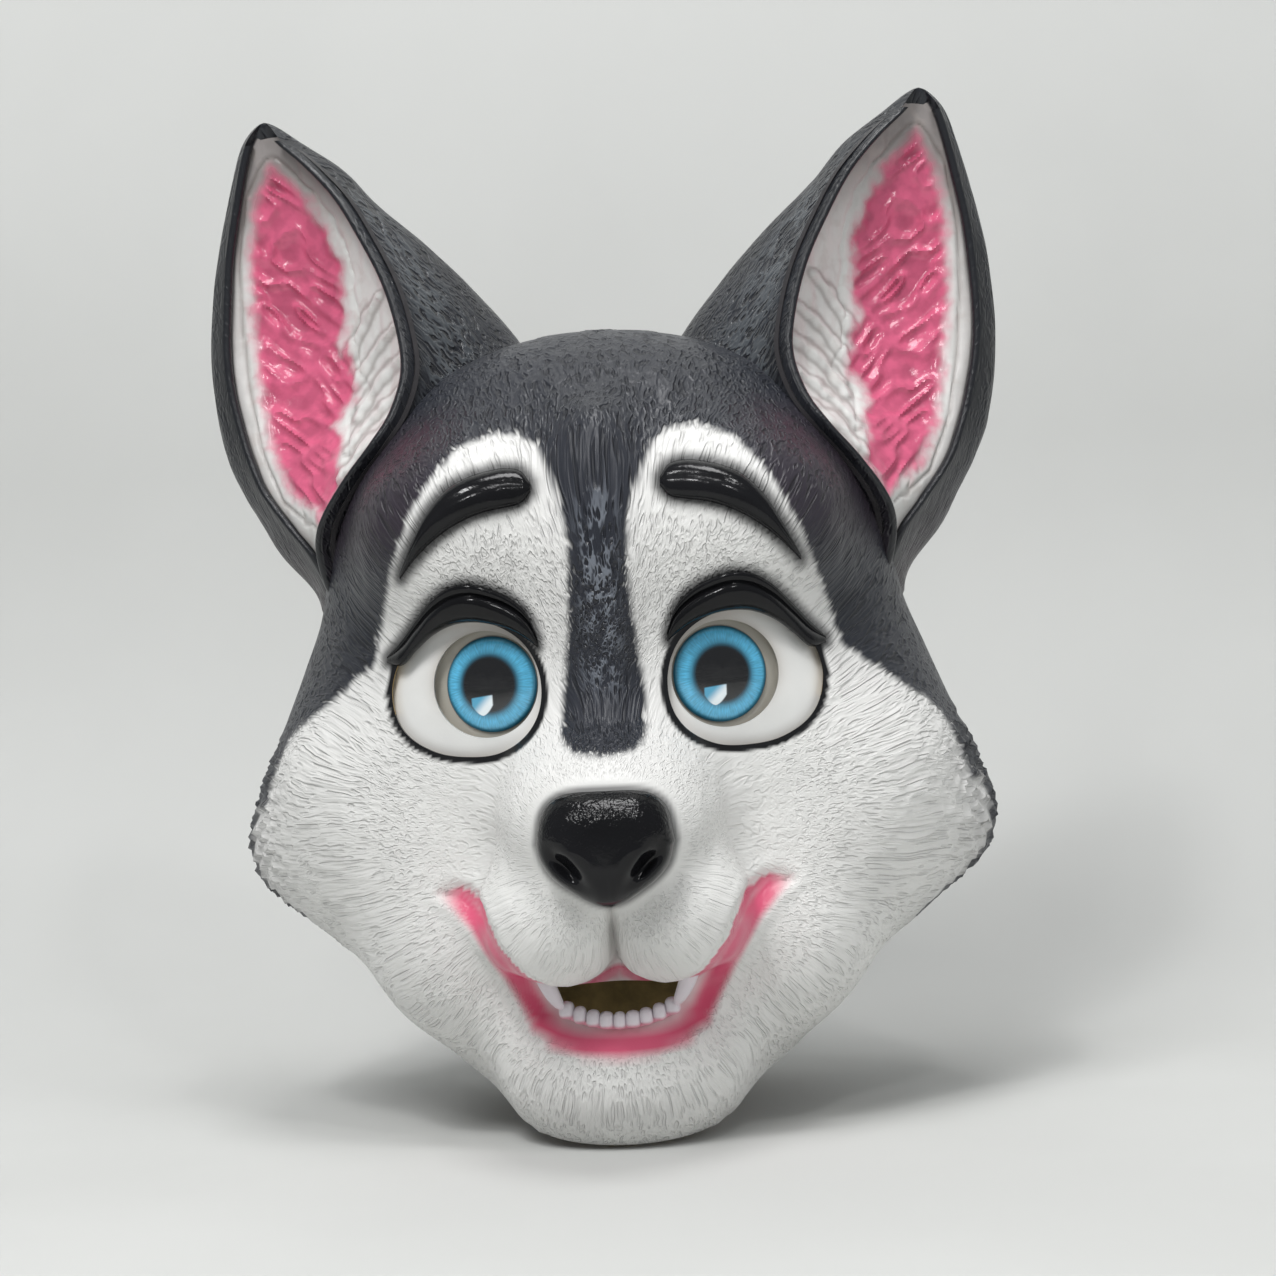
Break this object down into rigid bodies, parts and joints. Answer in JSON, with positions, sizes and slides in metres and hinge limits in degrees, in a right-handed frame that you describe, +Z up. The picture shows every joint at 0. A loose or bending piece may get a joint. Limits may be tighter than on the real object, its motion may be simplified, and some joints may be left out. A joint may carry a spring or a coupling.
{
  "type": "full-head husky mask",
  "caption": "Full-head latex husky hood mask with hollow ears, set-in eye shells, nose, brows and an open toothed mouth.",
  "frame": {"origin": "where the inside of the hood's crown rests on the top of the wearer's head", "axes": "+Z up, the face looks along -Y, +X is the wearer's left"},
  "size_m": [0.3318, 0.2949, 0.4185],
  "materials": {
    "latex_hood": "satin, cream-white and charcoal air-brushed latex",
    "latex_ear": "satin charcoal latex with glossy strands",
    "latex_lining": "satin, off-white latex round a glossy pink patch",
    "eye_white": "satin white",
    "iris": "gloss, blue ring round a black pupil",
    "latex_black": "gloss black latex",
    "tooth": "gloss, off-white"
  },
  "bodies": {
    "root": {"hood": "latex_hood", "nose": "latex_black", "lower_teeth": "tooth", "ear_left": "latex_ear", "ear_lining_left": "latex_lining", "eye_white_left": "eye_white", "iris_left": "iris", "eyelid_left": "latex_black", "brow_left": "latex_black", "canine_left": "tooth", "ear_right": "latex_ear", "ear_lining_right": "latex_lining", "eye_white_right": "eye_white", "iris_right": "iris", "eyelid_right": "latex_black", "brow_right": "latex_black", "canine_right": "tooth"}
  },
  "joints": []
}
